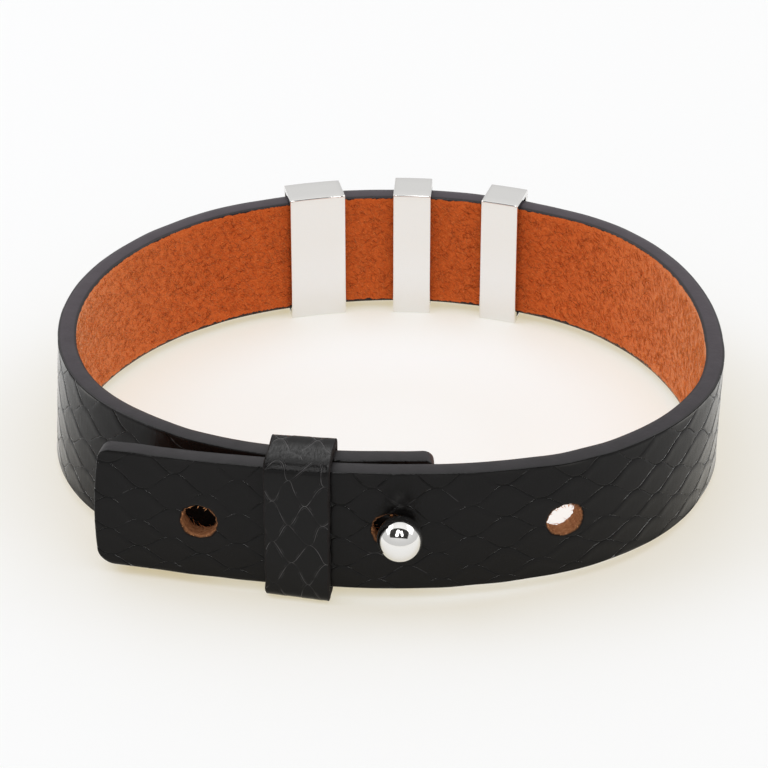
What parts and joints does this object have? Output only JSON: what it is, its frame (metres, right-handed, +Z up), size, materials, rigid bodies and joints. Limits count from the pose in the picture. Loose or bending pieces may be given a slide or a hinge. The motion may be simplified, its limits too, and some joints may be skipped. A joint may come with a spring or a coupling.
{
  "type": "id bracelet",
  "caption": "Leather wrist strap on edge: a looped strip with scale embossing, a keeper loop, a ball stud in a punched hole and bare metal sliders.",
  "frame": {"origin": "under the middle of the bounding box, on the surface that the bracelet stands on", "axes": "+Z up across the strap's width, +Y towards the sliders at the back, +X to the right seen from the closure"},
  "size_m": [0.0616, 0.0566, 0.0138],
  "materials": {
    "black_leather": "embossed black grain outside, satin painted edges, orange-brown suede inside",
    "polished_metal": "mirror polished, bare"
  },
  "bodies": {
    "band": {"strap": "black_leather", "keeper": "black_leather", "ball_stud": "polished_metal"},
    "wide_slider": {"slider_wide": "polished_metal"},
    "middle_slider": {"slider_middle": "polished_metal"},
    "right_slider": {"slider_right": "polished_metal"}
  },
  "joints": [
    {"name": "wide_slide", "type": "hinge", "parent": "band", "child": "wide_slider", "pos_m": [0.00047, -0.01002, 0.0067], "axis": [0, 0, 1], "range_deg": [-3.6, 6.8]},
    {"name": "middle_slide", "type": "hinge", "parent": "band", "child": "middle_slider", "pos_m": [0.00047, -0.01002, 0.0067], "axis": [0, 0, 1], "range_deg": [-3.9, 3.6]},
    {"name": "right_slide", "type": "hinge", "parent": "band", "child": "right_slider", "pos_m": [0.00047, -0.01002, 0.0067], "axis": [0, 0, 1], "range_deg": [-4.2, 3.9]}
  ]
}
